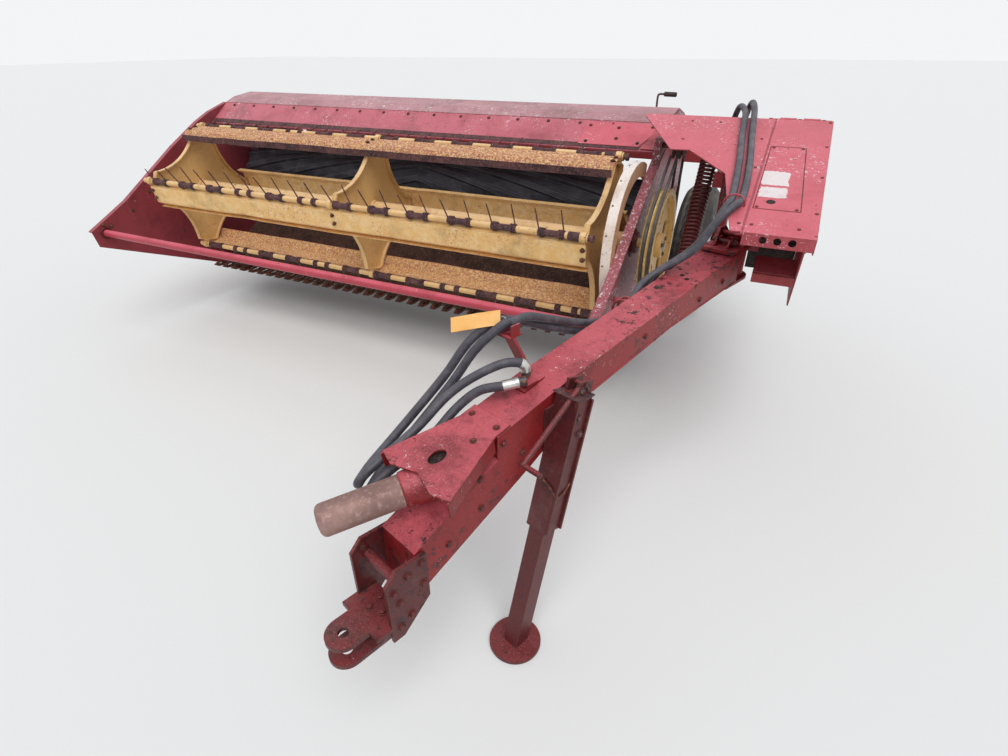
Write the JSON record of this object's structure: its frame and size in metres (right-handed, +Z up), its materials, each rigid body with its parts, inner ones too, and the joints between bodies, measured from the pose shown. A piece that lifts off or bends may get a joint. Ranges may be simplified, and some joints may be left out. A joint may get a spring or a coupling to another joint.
{
  "type": "mower conditioner",
  "caption": "Pulled sickle mower conditioner: tined reel, chevron rolls, floating header hung in a two-wheel frame, side tongue with driveline, jack and hoses.",
  "frame": {"origin": "centre of the footprint, on the ground", "axes": "+Z up, travel towards -Y, the tongue and drive side towards +X"},
  "size_m": [3.571, 3.6813, 1.3011],
  "materials": {
    "paint": "sun-faded, chalky",
    "reel_paint": "faded and rusty",
    "band_paint": "faded and stained",
    "rust": "rusted",
    "steel": "worn",
    "rubber": "weathered",
    "tyre": "weathered",
    "rim_paint": "dull",
    "spring_steel": "painted, rusty"
  },
  "bodies": {
    "frame": {"carrier_frame": "paint", "drive_bay": "paint", "gearbox": "rust", "shield_panel": "paint"},
    "lid": {"shield_lid": "paint"},
    "wheel_left": {"tyre_left": "tyre", "rim_left": "rim_paint"},
    "wheel_right": {"tyre_right": "tyre", "rim_right": "rim_paint"},
    "tongue": {"tongue_beam": "paint", "bell_cover": "paint", "hitch": "paint", "hose_stand": "paint", "driveline": "rust", "jack_tube": "paint", "hose_a": "rubber", "hose_b": "rubber"},
    "jack": {"jack_leg": "paint"},
    "header": {"end_sheet_right": "paint", "end_sheet_left": "paint", "fascia": "paint", "push_bar": "paint", "floor_pan": "rust", "cutterbar": "rust", "skid_shoes": "rust", "cam_band": "band_paint", "hood": "rust", "header_links": "paint", "reel_belts": "rubber", "spring_right": "spring_steel", "spring_left": "spring_steel"},
    "belt_sheave": {"belt_sheave": "rust"},
    "knife": {"knife": "steel"},
    "reel": {"reel_core": "reel_paint", "reel_bats": "reel_paint", "tine_bars": "rust", "reel_sheave": "reel_paint"},
    "roll_upper": {"roll_upper": "rubber"},
    "roll_lower": {"roll_lower": "rubber"},
    "wing_right": {"wing_right": "paint"},
    "wing_left": {"wing_left": "paint"},
    "barrel_right": {"cyl_barrel_right": "paint"},
    "rod_right": {"cyl_rod_right": "steel"},
    "barrel_left": {"cyl_barrel_left": "paint"},
    "rod_left": {"cyl_rod_left": "steel"}
  },
  "joints": [
    {"name": "wheel_left_spin", "type": "hinge", "parent": "frame", "child": "wheel_left", "pos_m": [1.2345, 1.34067, 0.375], "axis": [1, 0, 0], "continuous": true},
    {"name": "wheel_right_spin", "type": "hinge", "parent": "frame", "child": "wheel_right", "pos_m": [-1.5455, 1.34067, 0.375], "axis": [1, 0, 0], "continuous": true},
    {"name": "tongue_swing", "type": "hinge", "parent": "frame", "child": "tongue", "pos_m": [1.5535, -0.22533, 0.842], "axis": [0, 0, 1], "range_deg": [-4, 24], "deforming": ["hose_a", "hose_b"]},
    {"name": "jack_slide", "type": "slide", "parent": "tongue", "child": "jack", "axis": [0.0851, 0.2444, 0.9659], "range_m": [0, 0.18]},
    {"name": "header_lift", "type": "hinge", "parent": "frame", "child": "header", "pos_m": [1.0025, 1.28067, 0.45], "axis": [1, 0, 0], "range_deg": [0, 9], "deforming": ["spring_right", "spring_left"]},
    {"name": "lid_hinge", "type": "hinge", "parent": "frame", "child": "lid", "pos_m": [1.6845, 0.32067, 1.243], "axis": [1, 0, 0], "range_deg": [-70, 0]},
    {"name": "knife_slide", "type": "slide", "parent": "header", "child": "knife", "axis": [1, 0, 0], "range_m": [-0.038, 0.038]},
    {"name": "reel_spin", "type": "hinge", "parent": "header", "child": "reel", "pos_m": [-1.4655, 0.01067, 0.78], "axis": [1, 0, 0], "continuous": true},
    {"name": "belt_sheave_spin", "type": "hinge", "parent": "header", "child": "belt_sheave", "pos_m": [-1.4655, 0.23567, 1.138], "axis": [1, 0, 0], "continuous": true},
    {"name": "roll_upper_spin", "type": "hinge", "parent": "header", "child": "roll_upper", "pos_m": [-1.4655, 0.62467, 0.78], "axis": [1, 0, 0], "continuous": true},
    {"name": "roll_lower_spin", "type": "hinge", "parent": "header", "child": "roll_lower", "pos_m": [-1.4655, 0.65267, 0.51146], "axis": [1, 0, 0], "continuous": true},
    {"name": "wing_right_swing", "type": "hinge", "parent": "frame", "child": "wing_right", "pos_m": [-1.2655, 1.21567, 0.7], "axis": [0, 0, 1], "range_deg": [-30, 12]},
    {"name": "wing_left_swing", "type": "hinge", "parent": "frame", "child": "wing_left", "pos_m": [0.9545, 1.21567, 0.7], "axis": [0, 0, 1], "range_deg": [-12, 30]},
    {"name": "barrel_right_pivot", "type": "hinge", "parent": "frame", "child": "barrel_right", "pos_m": [-1.7405, 0.71067, 0.895], "axis": [1, 0, 0], "range_deg": [-1, 6]},
    {"name": "rod_right_slide", "type": "slide", "parent": "barrel_right", "child": "rod_right", "axis": [0, -0.3129, -0.9498], "range_m": [0, 0.11]},
    {"name": "barrel_left_pivot", "type": "hinge", "parent": "frame", "child": "barrel_left", "pos_m": [1.4245, 0.71067, 0.895], "axis": [1, 0, 0], "range_deg": [-1, 6]},
    {"name": "rod_left_slide", "type": "slide", "parent": "barrel_left", "child": "rod_left", "axis": [0, -0.3129, -0.9498], "range_m": [0, 0.11]}
  ],
  "couplings": [
    {"joint": "roll_lower_spin", "follows": "roll_upper_spin", "ratio": -1},
    {"joint": "belt_sheave_spin", "follows": "reel_spin", "ratio": 5.45},
    {"joint": "barrel_right_pivot", "follows": "header_lift", "ratio": 0.46093},
    {"joint": "rod_right_slide", "follows": "header_lift", "m_per_rad": 0.67359},
    {"joint": "barrel_left_pivot", "follows": "header_lift", "ratio": 0.46093},
    {"joint": "rod_left_slide", "follows": "header_lift", "m_per_rad": 0.67359}
  ]
}
